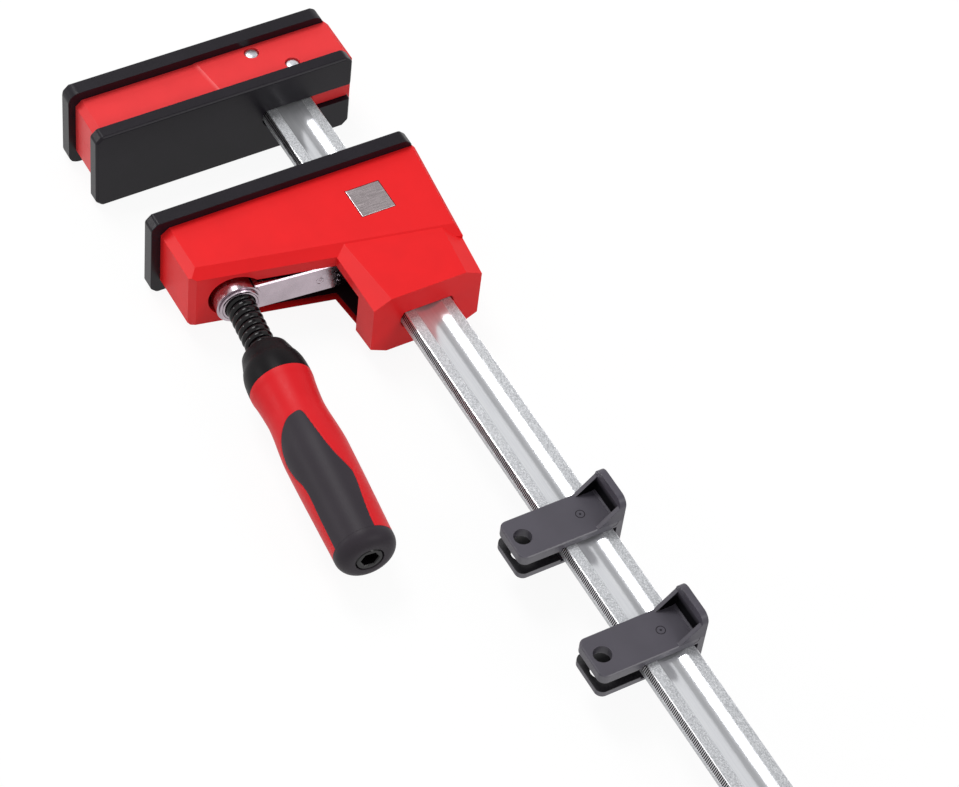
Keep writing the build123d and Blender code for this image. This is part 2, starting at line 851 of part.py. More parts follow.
def build():
    save(rail(), "rail")
    save(rail_end_stop(), "rail_end_stop")
    save(end_stop_pin(), "end_stop_pin")
    save(slotted_pad(0, 1), "fixed_front_pad")
    save(pad(fixed_back - pad_thickness, -1), "fixed_back_pad")
    upper, lower = fixed_jaw_casing()
    save(upper, "fixed_casing_upper")
    save(lower, "fixed_casing_lower")
    save(fixed_jaw_core(), "fixed_jaw_core")
    near, far = fixed_pin_places()
    save(fixed_jaw_pin(near), "fixed_jaw_pin_near")
    save(fixed_jaw_pin(far), "fixed_jaw_pin_far")
    save(slotted_pad(jaw_gap, -1), "moving_jaw_pad")
    save(moving_jaw_housing(), "moving_jaw_housing")
    save(moving_jaw_core(), "moving_jaw_core")
    save(thrust_plate(), "thrust_plate")
    save(shoe_retainer(), "shoe_retainer")
    save(rail_guide(front_guide_x()), "rail_guide_front")
    save(rail_guide(rear_guide_x()), "rail_guide_rear")
    save(badge_plate(), "badge_plate")
    save(sliding_arm(), "sliding_arm")
    save(arm_brake_spring(), "arm_brake_spring")
    save(screw_nut(), "screw_nut")
    save(thrust_shoe(), "thrust_shoe")
    save(shoe_ring(), "shoe_ring")
    save(screw_spindle(), "screw_spindle")
    save(handle_ferrule(), "handle_ferrule")
    save(handle_cross_pin(), "handle_cross_pin")
    save(handle_core(), "handle_core")
    for place, turn in grip_turns.items():
        save(on_screw(grip_skin(turn)), "handle_grip_" + place)
    save(handle_end_cap(), "handle_end_cap")
    save(hex_insert(), "hex_insert")
    save(rail_clip(clip_near_at), "rail_clip_near")
    save(rail_clip(clip_far_at), "rail_clip_far")


build()
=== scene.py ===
import json
import math
import bmesh
import bpy
from mathutils import Matrix, Vector


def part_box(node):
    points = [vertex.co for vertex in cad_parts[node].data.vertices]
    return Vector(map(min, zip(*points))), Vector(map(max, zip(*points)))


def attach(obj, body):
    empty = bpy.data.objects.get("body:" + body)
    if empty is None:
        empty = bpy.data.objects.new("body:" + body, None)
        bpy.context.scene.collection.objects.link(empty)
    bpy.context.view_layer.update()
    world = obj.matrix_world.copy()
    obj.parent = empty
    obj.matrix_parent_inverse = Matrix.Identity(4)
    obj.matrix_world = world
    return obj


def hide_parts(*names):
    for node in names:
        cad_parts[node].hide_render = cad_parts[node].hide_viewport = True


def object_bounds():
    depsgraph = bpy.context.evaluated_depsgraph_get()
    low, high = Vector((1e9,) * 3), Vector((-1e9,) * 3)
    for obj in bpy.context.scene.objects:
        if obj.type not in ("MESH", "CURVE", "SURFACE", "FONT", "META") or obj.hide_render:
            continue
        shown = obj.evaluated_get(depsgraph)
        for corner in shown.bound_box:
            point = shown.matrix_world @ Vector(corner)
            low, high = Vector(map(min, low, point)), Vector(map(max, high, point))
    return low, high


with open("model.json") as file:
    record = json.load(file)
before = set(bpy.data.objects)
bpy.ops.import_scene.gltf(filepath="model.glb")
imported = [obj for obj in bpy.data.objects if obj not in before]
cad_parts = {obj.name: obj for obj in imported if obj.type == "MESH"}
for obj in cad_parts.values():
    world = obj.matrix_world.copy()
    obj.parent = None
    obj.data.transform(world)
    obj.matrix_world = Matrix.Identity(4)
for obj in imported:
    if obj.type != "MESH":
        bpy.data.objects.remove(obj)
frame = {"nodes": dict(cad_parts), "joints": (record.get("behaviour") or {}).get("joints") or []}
cad_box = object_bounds()
nodes = frame["nodes"]

# Dress of a parallel-jaw bar clamp: pads, casings, rail with serrated flanks, threaded screw, two-colour
# handle and moulded clips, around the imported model. Lengths are in metres, so a size is written times MM.
MM = 0.001
UP = Vector((0, 0, 1))

# Rail's section, in mm from its middle
RAIL_HALF = 14.5
RAIL_TOP = 5.0
LAND = 12.9
BAND = 1.3
GROOVE_HALF = 7.3
GROOVE_DEPTH = 1.6
EDGE = 0.32
TOOTH = 0.25
TOOTH_PITCH = 1.14
TOOTH_CREST = 0.36


# Meshes

def new_object(name, mesh):
    obj = bpy.data.objects.new(name, mesh)
    bpy.context.scene.collection.objects.link(obj)
    return obj


def shaded(obj, crease=32):
    """Smooth shading, with edges sharper than crease degrees left hard."""
    obj.data.shade_smooth()
    obj.data.set_sharp_from_angle(angle=math.radians(crease))
    return obj


def mesh_object(name, points, faces, crease=32):
    mesh = bpy.data.meshes.new(name)
    mesh.from_pydata([tuple(p) for p in points], [], faces)
    form = bmesh.new()
    form.from_mesh(mesh)
    bmesh.ops.recalc_face_normals(form, faces=form.faces)
    form.to_mesh(mesh)
    form.free()
    return shaded(new_object(name, mesh), crease)


def joined(name, pieces):
    """One object from several meshes."""
    form = bmesh.new()
    for piece in pieces:
        form.from_mesh(piece.data)
        bpy.data.objects.remove(piece)
    mesh = bpy.data.meshes.new(name)
    form.to_mesh(mesh)
    form.free()
    return new_object(name, mesh)


def welded(obj, distance, crease, capped=False):
    """Merges points closer than distance, and with capped closes what is left open."""
    form = bmesh.new()
    form.from_mesh(obj.data)
    bmesh.ops.remove_doubles(form, verts=form.verts, dist=distance)
    if capped:
        bmesh.ops.holes_fill(form, edges=form.edges, sides=0)
        bmesh.ops.recalc_face_normals(form, faces=form.faces)
    form.to_mesh(obj.data)
    form.free()
    return shaded(obj, crease)


def plain_form(node):
    """A CAD node's shape, with each flat face in one piece."""
    form = bmesh.new()
    form.from_mesh(nodes[node].data)
    bmesh.ops.remove_doubles(form, verts=form.verts, dist=0.001 * MM)
    bmesh.ops.dissolve_limit(form, angle_limit=math.radians(1), verts=form.verts, edges=form.edges)
    return form


def grid_faces(rows, columns, closed=False):
    """Faces of a grid of points, row by row, closed around its columns or not."""
    faces = []
    last = columns if closed else columns - 1
    for row in range(rows - 1):
        for column in range(last):
            right = (column + 1) % columns
            faces.append((row * columns + column, row * columns + right,
                          (row + 1) * columns + right, (row + 1) * columns + column))
    return faces


def inside(point, boxes):
    return any(all(low[i] <= point[i] <= high[i] for i in range(3)) for low, high in boxes)


def round_edges(form, width, segments, chosen):
    """Rounds the sharp edges of a form that the function chosen picks."""
    edges = [edge for edge in form.edges
             if len(edge.link_faces) == 2 and edge.calc_face_angle() > math.radians(28) and chosen(edge)]
    bmesh.ops.bevel(form, geom=edges, offset=width, offset_type="OFFSET", segments=segments, profile=0.5,
                    affect="EDGES", clamp_overlap=True)


def middle_of(edge):
    return (edge.verts[0].co + edge.verts[1].co) / 2


def along_axis(edge, axis):
    way = edge.verts[1].co - edge.verts[0].co
    return abs(way[axis]) > 0.98 * way.length


def flat_faces(obj):
    """Keeps large faces flat where rounded edges meet them."""
    weighted = obj.modifiers.new("flat_faces", "WEIGHTED_NORMAL")
    weighted.keep_sharp = True
    return obj


def softened(node, name, width, skip=(), segments=3, corners=None, crease=32, far_sharp=False):
    """The form of a CAD node with its edges rounded to width, except in the boxes of skip.
    corners is an axis and the larger width to which the edges along it are rounded first.
    With far_sharp the edges of the faces turned to the far side stay as they are."""
    form = plain_form(node)
    if corners:
        axis, large = corners
        round_edges(form, large, 4, lambda edge: along_axis(edge, axis))
    round_edges(form, width, segments, lambda edge: not inside(middle_of(edge), skip)
                and not (far_sharp and any(face.normal.y > 0.9 for face in edge.link_faces)))
    mesh = bpy.data.meshes.new(name)
    form.to_mesh(mesh)
    form.free()
    return flat_faces(shaded(new_object(name, mesh), crease))


def placed(obj, body, slot, material, *replaced):
    """Gives a piece its body, its finish and the CAD nodes it stands for."""
    obj.data.materials.clear()
    obj.data.materials.append(material)
    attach(obj, body)
    if replaced:
        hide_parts(*replaced)
    return obj


# Materials

class Look:
    """A material's node tree, with short calls for the nodes used here."""

    def __init__(self, name):
        self.material = bpy.data.materials.new(name)
        self.material.use_nodes = True
        self.tree = self.material.node_tree
        self.shader = self.tree.nodes["Principled BSDF"]
        self.coordinates = self.tree.nodes.new("ShaderNodeTexCoord").outputs["Object"]

    def link(self, source, target):
        self.tree.links.new(source, target)

    def stretched(self, stretch):
        mapping = self.tree.nodes.new("ShaderNodeMapping")
        mapping.inputs["Scale"].default_value = stretch
        self.link(self.coordinates, mapping.inputs["Vector"])
        return mapping.outputs["Vector"]

    def noise(self, size, detail=3.0, stretch=(1, 1, 1), rough=0.55):
        """Noise whose lumps are about size metres across."""
        texture = self.tree.nodes.new("ShaderNodeTexNoise")
        texture.inputs["Scale"].default_value = 1 / size
        texture.inputs["Detail"].default_value = detail
        texture.inputs["Roughness"].default_value = rough
        self.link(self.stretched(stretch), texture.inputs["Vector"])
        return texture.outputs["Fac"]

    def ranged(self, source, low, high, start=0.3, end=0.7):
        """Value that runs from low to high as source runs from start to end."""
        node = self.tree.nodes.new("ShaderNodeMapRange")
        node.inputs["From Min"].default_value = start
        node.inputs["From Max"].default_value = end
        node.inputs["To Min"].default_value = low
        node.inputs["To Max"].default_value = high
        self.link(source, node.inputs["Value"])
        return node.outputs["Result"]

    def reckoned(self, operation, first, second=None):
        """Result of a maths node, whose second value may be a number or another node's."""
        node = self.tree.nodes.new("ShaderNodeMath")
        node.operation = operation
        self.link(first, node.inputs[0])
        if isinstance(second, float):
            node.inputs[1].default_value = second
        elif second is not None:
            self.link(second, node.inputs[1])
        return node.outputs["Value"]

    def part_of(self, vector, axis):
        split = self.tree.nodes.new("ShaderNodeSeparateXYZ")
        self.link(vector, split.inputs["Vector"])
        return split.outputs[axis]

    def turned(self, axis):
        """How far a face looks along an axis, from -1 to 1."""
        return self.part_of(self.tree.nodes.new("ShaderNodeNewGeometry").outputs["Normal"], axis)

    def beside(self, middle, near, far, axis="Y"):
        """0 within near of a plane across the axis and 1 beyond far."""
        offset = self.reckoned("SUBTRACT", self.part_of(self.coordinates, axis), middle)
        return self.ranged(self.reckoned("ABSOLUTE", offset), 0, 1, near, far)

    def facing(self, stops):
        """Value by how far a face turns to the far side: stops are pairs of normal's Y and value."""
        ramp = self.tree.nodes.new("ShaderNodeValToRGB")
        marks = ramp.color_ramp.elements
        while len(marks) < len(stops):
            marks.new(0.5)
        for mark, (direction, value) in zip(marks, stops):
            mark.position = (direction + 1) / 2
            mark.color = (value, value, value, 1)
        self.link(self.ranged(self.turned("Y"), 0, 1, -1, 1), ramp.inputs["Fac"])
        return ramp.outputs["Color"]

    def product(self, first, second):
        return self.reckoned("MULTIPLY", first, second)

    def blended(self, amount, first, second):
        node = self.tree.nodes.new("ShaderNodeMix")
        node.data_type = "RGBA"
        self.link(first, node.inputs["A"])
        self.link(second, node.inputs["B"])
        self.link(amount, node.inputs["Factor"])
        return node.outputs["Result"]

    def mixed(self, amount, first, second):
        node = self.tree.nodes.new("ShaderNodeMix")
        node.data_type = "RGBA"
        node.inputs["A"].default_value = (*first, 1)
        node.inputs["B"].default_value = (*second, 1)
        self.link(amount, node.inputs["Factor"])
        return node.outputs["Result"]

    def mottled(self, cloud, colour, spread):
        """Colour that a broad noise makes a little paler and deeper."""
        pale, deep = shade_of(colour, 1 + spread), shade_of(colour, 1 - spread)
        return self.mixed(self.ranged(cloud, 0, 1), deep, pale)

    def bumped(self, height, distance, strength=1.0, below=None):
        node = self.tree.nodes.new("ShaderNodeBump")
        node.inputs["Distance"].default_value = distance
        node.inputs["Strength"].default_value = strength
        self.link(height, node.inputs["Height"])
        if below is not None:
            self.link(below, node.inputs["Normal"])
        return node.outputs["Normal"]

    def finish(self, colours, fine, rough, relief):
        """Gives the shader its colours, and the roughness and bumps of a fine noise."""
        self.link(colours, self.shader.inputs["Base Color"])
        self.link(self.ranged(fine, *rough), self.shader.inputs["Roughness"])
        self.link(self.bumped(fine, relief), self.shader.inputs["Normal"])
        return self.material


def shade_of(colour, factor):
    return tuple(min(1.0, channel * factor) for channel in colour)


CLOUD = 18 * MM


def plastic(name, colour, rough, grain, relief, spread=0.06, level=0.5, facing=None):
    """Moulded plastic: faint mottling, an eroded grain and a slightly uneven gloss.
    facing gives other reflection levels to faces turned to the near and the far side."""
    look = Look(name)
    fine = look.noise(grain, 4.0, rough=0.6)
    colours = look.mottled(look.noise(CLOUD, 2.0), colour, spread)
    reflection = look.shader.inputs["Specular IOR Level"]
    if facing is None:
        reflection.default_value = level
    else:
        look.link(look.facing(facing), reflection)
    return look.finish(colours, fine, (rough - 0.05, rough + 0.07), relief)


def height_shaded(name, dark, light, low, high):
    """Satin plastic with painted shade: dark and nearly without gloss below the lower height, going to a
    light colour by the upper height.
    """
    look = Look(name)
    shader = look.shader
    height = look.ranged(look.part_of(look.coordinates, "Z"), 0, 1, low, high)
    look.link(look.mixed(height, dark, light), shader.inputs["Base Color"])
    look.link(look.ranged(height, 0.02, 0.4, 0, 1), shader.inputs["Specular IOR Level"])
    look.link(look.ranged(look.noise(0.45 * MM), 0.4, 0.5), shader.inputs["Roughness"])
    return look.material


def metal(name, colour, rough, grain, relief, stretch=(1, 1, 1), spread=0.1):
    """Metal with fine grain or brush lines along the axis that stretch makes small."""
    look = Look(name)
    look.shader.inputs["Metallic"].default_value = 1.0
    fine = look.noise(grain, 4.0, stretch, 0.65)
    colours = look.mottled(look.noise(12 * MM, 3.0), colour, spread)
    return look.finish(colours, fine, (rough - 0.06, rough + 0.1), relief)


def zinc_rail(name, middle_y):
    """Rolled and galvanised steel: grainy lands that sparkle, and a smoother groove."""
    look = Look(name)
    shader = look.shader
    shader.inputs["Metallic"].default_value = 0.64
    land = look.beside(middle_y, (GROOVE_HALF - 0.2) * MM, (GROOVE_HALF + 0.2) * MM)
    streak = look.noise(0.8 * MM, 3.0, (0.03, 1, 1), 0.6)
    grain = look.noise(0.6 * MM, 3.0, (0.8, 1, 1), 0.75)
    ripple = look.noise(1.6 * MM, 3.0, (0.6, 1, 1), 0.6)
    colours = look.mixed(look.ranged(grain, 0, 1, 0.36, 0.66), (0.33, 0.34, 0.36), (0.74, 0.75, 0.77))
    smooth = look.mixed(look.ranged(streak, 0, 1), (0.62, 0.63, 0.66), (0.70, 0.71, 0.73))
    look.link(look.blended(land, smooth, colours), shader.inputs["Base Color"])
    look.link(look.ranged(land, 0.17, 0.40, 0, 1), shader.inputs["Roughness"])
    waves = look.bumped(ripple, 0.018 * MM, 0.7)
    height = look.product(grain, land)
    look.link(look.bumped(height, 0.12 * MM, below=waves), shader.inputs["Normal"])
    return look.material


# Finishes. A gloss list gives reflection levels by how far a face turns to the far side.
RED = (0.83, 0.013, 0.016)
CASING_RED = (0.80, 0.038, 0.042)
HANDLE_RED = (0.70, 0.010, 0.016)
CHARCOAL = (0.008, 0.006, 0.010)
CLIP_GREY = (0.066, 0.060, 0.078)
HOUSING_GLOSS = [(-0.95, 0.09), (-0.85, 0.30), (-0.35, 0.30), (-0.1, 0.15), (0.5, 0.15), (0.7, 0.01)]
CASING_GLOSS = [(-0.93, 0.40), (-0.85, 0.18), (-0.45, 0.18), (-0.3, 0.60), (-0.04, 0.18), (0.5, 0.18),
                (0.7, 0.01)]
red_plastic = plastic("red_moulding", RED, 0.38, 0.5 * MM, 0.010 * MM, 0.03, facing=HOUSING_GLOSS)
red_casing = plastic("red_casing", CASING_RED, 0.42, 0.5 * MM, 0.010 * MM, 0.03, facing=CASING_GLOSS)
red_handle = plastic("red_handle", HANDLE_RED, 0.43, 1.2 * MM, 0.0008 * MM, 0.02, 0.17)
pad_plastic = plastic("pad_charcoal", CHARCOAL, 0.34, 0.6 * MM, 0.005 * MM, 0.15, 0.20)
soft_grip = plastic("soft_grip", (0.032, 0.026, 0.033), 0.46, 0.35 * MM, 0.016 * MM, 0.06, 0.16)
ferrule_black = plastic("ferrule_black", (0.004, 0.003, 0.004), 0.42, 0.6 * MM, 0.006 * MM, 0.08, 0.10)
clip_shade = plastic("clip_shade", (0.024, 0.022, 0.028), 0.5, 0.45 * MM, 0.01 * MM, 0.08, 0.1)
# painted shade: near black low in the clip's corner, the clip's grey higher up
pocket_shade_paint = height_shaded("clip_pocket_shade", (0.004, 0.004, 0.005), CLIP_GREY, 15.5 * MM, 21 * MM)
inner_plastic = plastic("guide_black", (0.012, 0.012, 0.014), 0.4, 0.8 * MM, 0.01 * MM, 0.1, 0.3)
rail_metal = zinc_rail("zinc_rail", (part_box("rail")[0][1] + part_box("rail")[1][1]) / 2)
tooth_metal = metal("serrated_flank", (0.64, 0.63, 0.65), 0.30, 0.5 * MM, 0.006 * MM)
# painted highlight: a near white metal for the strips along the rail's edges
edge_highlight_metal = metal("painted_edge_highlight", (0.90, 0.90, 0.92), 0.28, 0.9 * MM, 0.003 * MM, spread=0.06)
# painted shade: a near black finish for the floors between the rail's ridges
slot_shade_paint = plastic("slot_shade", (0.012, 0.011, 0.012), 0.6, 0.5 * MM, 0.01 * MM, 0.2, 0.1)
bright_metal = metal("bright_steel", (0.70, 0.70, 0.72), 0.2, 0.4 * MM, 0.0015 * MM)
arm_metal = metal("forged_steel", (0.44, 0.37, 0.41), 0.20, 1.6 * MM, 0.005 * MM)
seam_plastic = plastic("seam_shade", (0.10, 0.004, 0.005), 0.5, 0.5 * MM, 0.004 * MM, 0.1, 0.1)
# painted shade: a near black red for the skin inside the housing's mouth
mouth_shade_paint = plastic("mouth_shade", (0.016, 0.005, 0.007), 0.5, 0.8 * MM, 0.01 * MM, 0.1, 0.1)
core_metal = metal("cast_aluminium", (0.55, 0.55, 0.56), 0.5, 0.8 * MM, 0.05 * MM)
black_metal = plastic("black_oxide", (0.003, 0.002, 0.003), 0.16, 1.0 * MM, 0.002 * MM, 0.1, 0.26)
badge_metal = metal("brushed_badge", (0.57, 0.50, 0.515), 0.22, 0.25 * MM, 0.0015 * MM, (1, 0.03, 1))
rivet_metal = metal("rivet_steel", (0.66, 0.66, 0.70), 0.34, 0.6 * MM, 0.002 * MM)


# The screw's own frame: its axis and a ring of directions around it

turn = next(joint for joint in frame["joints"] if joint["name"] == "spindle_turn")
screw_origin = Vector(turn["pos_m"])
screw_way = -Vector(turn["axis"]).normalized()
screw_side = screw_way.cross(UP).normalized()
arm_way = -screw_side


def on_screw(along, angle, radius):
    """Point at a distance along the screw from the arm's rear face, around it from straight up."""
    return screw_origin + screw_way * along + (UP * math.cos(angle) + screw_side * math.sin(angle)) * radius


def along_screw(node):
    """Distances at which a CAD node starts and ends along the screw."""
    places = [(vertex.co - screw_origin).dot(screw_way) for vertex in nodes[node].data.vertices]
    return min(places), max(places)


def lathe(name, stations, segments=96, crease=32):
    """Closed turned mesh about the screw through (along, radius) stations; radius 0 closes an end."""
    points = []
    for along, radius in stations:
        for segment in range(segments):
            points.append(on_screw(along, 2 * math.pi * segment / segments, radius))
    faces = grid_faces(len(stations), segments, closed=True)
    return welded(mesh_object(name, points, faces, crease), 0.002 * MM, crease, capped=True)


def raised_ring(name, centre, normal, outer, inner, height):
    """Low round moulded mark on a flat face."""
    across = normal.orthogonal().normalized()
    beside = normal.cross(across).normalized()
    segments = 40
    slope = min(0.12 * MM, (outer - inner) / 3)
    points = []
    for radius, rise in ((outer, 0), (outer - slope, height), (inner + slope, height), (inner, 0)):
        for step in range(segments):
            angle = 2 * math.pi * step / segments
            way = across * math.cos(angle) + beside * math.sin(angle)
            points.append(centre + way * radius + normal * rise)
    faces = grid_faces(4, segments, closed=True)
    faces += [(3 * segments + step, 3 * segments + (step + 1) % segments, (step + 1) % segments, step)
              for step in range(segments)]
    return mesh_object(name, points, faces, 30)


def ring_lathe(name, stations, segments=96, crease=32):
    """Turned mesh whose last station joins its first, so it keeps a hole."""
    return lathe(name, stations + [stations[0]], segments, crease)


def smooth_curve(points, at):
    """Height at a place on a smooth curve through (place, height) points, without overshoot."""
    if at <= points[0][0]:
        return points[0][1]
    if at >= points[-1][0]:
        return points[-1][1]
    slopes = [(b[1] - a[1]) / (b[0] - a[0]) for a, b in zip(points, points[1:])]
    bends = [slopes[0]]
    for before, after in zip(slopes, slopes[1:]):
        bends.append(0 if before * after <= 0 else 2 * before * after / (before + after))
    bends.append(slopes[-1])
    index = next(i for i in range(len(slopes)) if at <= points[i + 1][0])
    (x0, y0), (x1, y1) = points[index], points[index + 1]
    span = x1 - x0
    t = (at - x0) / span
    return (y0 * (1 + 2 * t) * (1 - t) ** 2 + bends[index] * span * t * (1 - t) ** 2
            + y1 * t * t * (3 - 2 * t) - bends[index + 1] * span * t * t * (1 - t))


# Rail

rail_middle = [(low + high) / 2 for low, high in zip(*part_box("rail"))]


def rail_profile():
    """Upper half of the rail's section from side to side, as (y, z) from its middle, in mm."""
    half = RAIL_HALF
    arc = []
    radius = (GROOVE_HALF ** 2 + GROOVE_DEPTH ** 2) / (2 * GROOVE_DEPTH)
    steps = 16
    for step in range(steps + 1):
        y = GROOVE_HALF * (2 * step / steps - 1)
        drop = GROOVE_DEPTH - radius + math.sqrt(radius ** 2 - y ** 2)
        arc.append((y, RAIL_TOP - drop))
    left = [(-half, BAND - 0.1), (-half + TOOTH, BAND + 0.1), (-LAND + TOOTH, RAIL_TOP - EDGE - 0.15),
            (-LAND + 0.05, RAIL_TOP - EDGE - 0.02), (-LAND + EDGE + 0.07, RAIL_TOP)]
    right = [(-y, z) for y, z in reversed(left)]
    return left + arc + right


def rail_bar():
    """The rail's body, with its flanks set in under the teeth."""
    low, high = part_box("rail")
    upper = rail_profile()
    outline = upper + [(y, -z) for y, z in reversed(upper)]
    places = [low[0], low[0] + 0.6 * MM, high[0] - 0.6 * MM, high[0]]
    insets = [0.4, 0, 0, 0.4]
    points = []
    for place, inset in zip(places, insets):
        for y, z in outline:
            shrink_y = 1 - inset / RAIL_HALF
            shrink_z = 1 - inset / RAIL_TOP
            points.append((place, rail_middle[1] + y * shrink_y * MM, rail_middle[2] + z * shrink_z * MM))
    count = len(outline)
    faces = grid_faces(len(places), count, closed=True)
    faces.append(tuple(range(count)))
    faces.append(tuple(reversed(range(3 * count, 4 * count))))
    return flat_faces(mesh_object("rail_bar", points, faces, 18))


def prism(points, faces, lower, upper):
    """Adds a closed prism between two rings of as many points."""
    base = len(points)
    count = len(lower)
    points += lower + upper
    for side in range(count):
        after = (side + 1) % count
        faces.append((base + side, base + after, base + count + after, base + count + side))
    faces.append(tuple(base + side for side in reversed(range(count))))
    faces.append(tuple(base + count + side for side in range(count)))


def prisms(name, pairs, crease=32):
    """One mesh of closed prisms, each between a pair of rings."""
    points = []
    faces = []
    for lower, upper in pairs:
        prism(points, faces, lower, upper)
    return mesh_object(name, points, faces, crease)


def flank_point(x, sides, y, z):
    """Point on one of the rail's four flanks, from its place along the rail and in its section."""
    return (x, rail_middle[1] + sides[0] * y * MM, rail_middle[2] + sides[1] * z * MM)


FLANKS = [(1, 1), (1, -1), (-1, 1), (-1, -1)]
FLANK_FOOT = (RAIL_HALF - 0.05, BAND + 0.05)
FLANK_HEAD = (LAND + 0.05, RAIL_TOP - EDGE - 0.1)


def rail_teeth():
    """Rows of small flat-crested ridges across the flanks."""
    low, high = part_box("rail")
    ridges = []
    ramp = 0.08
    count = int((high[0] - low[0]) / MM / TOOTH_PITCH) - 2
    section = [(0, TOOTH), (ramp, 0), (ramp + TOOTH_CREST, 0), (2 * ramp + TOOTH_CREST, TOOTH)]
    for sides in FLANKS:
        for tooth in range(count):
            start = low[0] + (tooth + 1) * TOOTH_PITCH * MM
            ridges.append([[flank_point(start + along * MM, sides, y - inset, z) for along, inset in section]
                           for y, z in (FLANK_FOOT, FLANK_HEAD)])
    return prisms("rail_teeth", ridges, 20)


def flank_strips(name, section):
    """One long strip at each flank, from a section of (y, z) places."""
    low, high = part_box("rail")
    ends = (low[0] + MM, high[0] - MM)
    return prisms(name, [[[flank_point(x, sides, y, z) for y, z in section] for x in ends]
                         for sides in FLANKS], 20)


def rail_slots():
    """Dark skins of painted shade on the floors between the ridges."""
    (foot_y, foot_z), (head_y, head_z) = FLANK_FOOT, FLANK_HEAD
    skin = TOOTH - 0.1
    return flank_strips("rail_slot_floors", [(foot_y - TOOTH, foot_z), (foot_y - skin, foot_z),
                                             (head_y - skin, head_z), (head_y - TOOTH, head_z)])


def rail_edges():
    """Bright strips along the edges between the lands and the flanks: a painted highlight."""
    side, top = LAND - EDGE, RAIL_TOP - EDGE
    return flank_strips("rail_edges", [(LAND, top), (side, RAIL_TOP), (side - 0.1, RAIL_TOP - 0.1),
                                       (LAND - 0.1, top - 0.1)])


placed(rail_bar(), "rail_body", "zinc_steel", rail_metal, "rail")
placed(rail_edges(), "rail_body", "zinc_steel", edge_highlight_metal)
placed(rail_teeth(), "rail_body", "zinc_steel", tooth_metal)
placed(rail_slots(), "rail_body", "zinc_steel", slot_shade_paint)


# Pads and casings

PAD_CORNER = 6 * MM
PAD_THICKER = 1.3 * MM     # the back and moving pads stand this much further into the red parts
BOSS_DEPTH = 4.3 * MM
BOSS_BEVEL = 0.3 * MM
MOUTH_FLOOR = 7.6 * MM     # the painted shade skin starts this high above the housing's underside

for node in ("fixed_front_pad", "fixed_back_pad", "moving_jaw_pad"):
    body = "jaw" if node == "moving_jaw_pad" else "rail_body"
    plate = softened(node, node + "_plate", 0.9 * MM, corners=(0, PAD_CORNER))
    if node != "fixed_front_pad":
        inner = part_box(node)[1][0] - 0.4 * MM
        for vertex in plate.data.vertices:
            if vertex.co.x > inner:
                vertex.co.x += PAD_THICKER
    placed(plate, body, "charcoal_pad", pad_plastic, node)


def casing_boss():
    """Raised part of the fixed casing that fills the front pad's slot beside the rail."""
    low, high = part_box("fixed_front_pad")
    y0, y1 = rail_middle[1] + (RAIL_HALF + 0.4) * MM, high[1] - MM
    half = (RAIL_TOP + 0.2) * MM
    front = low[0] + BOSS_DEPTH
    rings = []
    for x, inset in ((low[0] - 0.2 * MM, 0), (front, 0), (front + BOSS_BEVEL, BOSS_BEVEL)):
        near, far, rise = y0 + inset, y1 - inset, half - inset
        rings.append([(x, y, rail_middle[2] + z) for y, z in
                      ((near, -rise), (far, -rise), (far, rise), (near, rise))])
    points = []
    faces = []
    prism(points, faces, rings[0], rings[1])
    faces.pop()
    points += rings[2]
    faces += [(4 + side, 4 + (side + 1) % 4, 8 + (side + 1) % 4, 8 + side) for side in range(4)]
    faces.append((8, 9, 10, 11))
    return mesh_object("casing_boss", points, faces, 20)


placed(casing_boss(), "rail_body", "red_plastic", red_casing)

for node in ("fixed_casing_upper", "fixed_casing_lower"):
    placed(softened(node, node + "_shell", 0.6 * MM, crease=10, far_sharp=True), "rail_body", "red_plastic",
           red_casing, node)


def badge_room():
    """Box just around the badge, where the housing's edges stay sharp."""
    low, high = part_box("badge_plate")
    room = 0.5 * MM
    return (tuple(v - room for v in low), tuple(v + room for v in high))


housing_shell = softened("moving_jaw_housing", "housing_shell", MM, [badge_room()], crease=10, far_sharp=True)
placed(housing_shell, "jaw", "red_plastic", red_plastic, "moving_jaw_housing")


def mouth_shade_skin():
    """Dark skin of painted shade on the inner faces of the housing's mouth, short of their edges."""
    low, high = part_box("moving_jaw_housing")
    room = ((low[0] + 25 * MM, low[1] - MM, low[2] + 2.5 * MM),
            (high[0] - 14.5 * MM, high[1] - 11 * MM, high[2] - 9.5 * MM))
    form = plain_form("moving_jaw_housing")
    outer = [face for face in form.faces if not all(inside(vert.co, [room]) for vert in face.verts)]
    bmesh.ops.delete(form, geom=outer, context="FACES")
    shade_inset = bmesh.ops.inset_individual(form, faces=form.faces[:], thickness=0.6 * MM, depth=0.08 * MM)
    bmesh.ops.delete(form, geom=shade_inset["faces"], context="FACES")
    for vert in form.verts:
        vert.co.z = max(vert.co.z, low[2] + MOUTH_FLOOR)
    mesh = bpy.data.meshes.new("mouth_shade_skin")
    form.to_mesh(mesh)
    form.free()
    obj = new_object("mouth_shade_skin", mesh)
    thick = obj.modifiers.new("thick", "SOLIDIFY")
    thick.thickness = 0.06 * MM
    return obj


placed(mouth_shade_skin(), "jaw", "red_plastic", mouth_shade_paint)
placed(softened("badge_plate", "badge_blank", 0.12 * MM), "jaw", "badge_silver", badge_metal, "badge_plate")


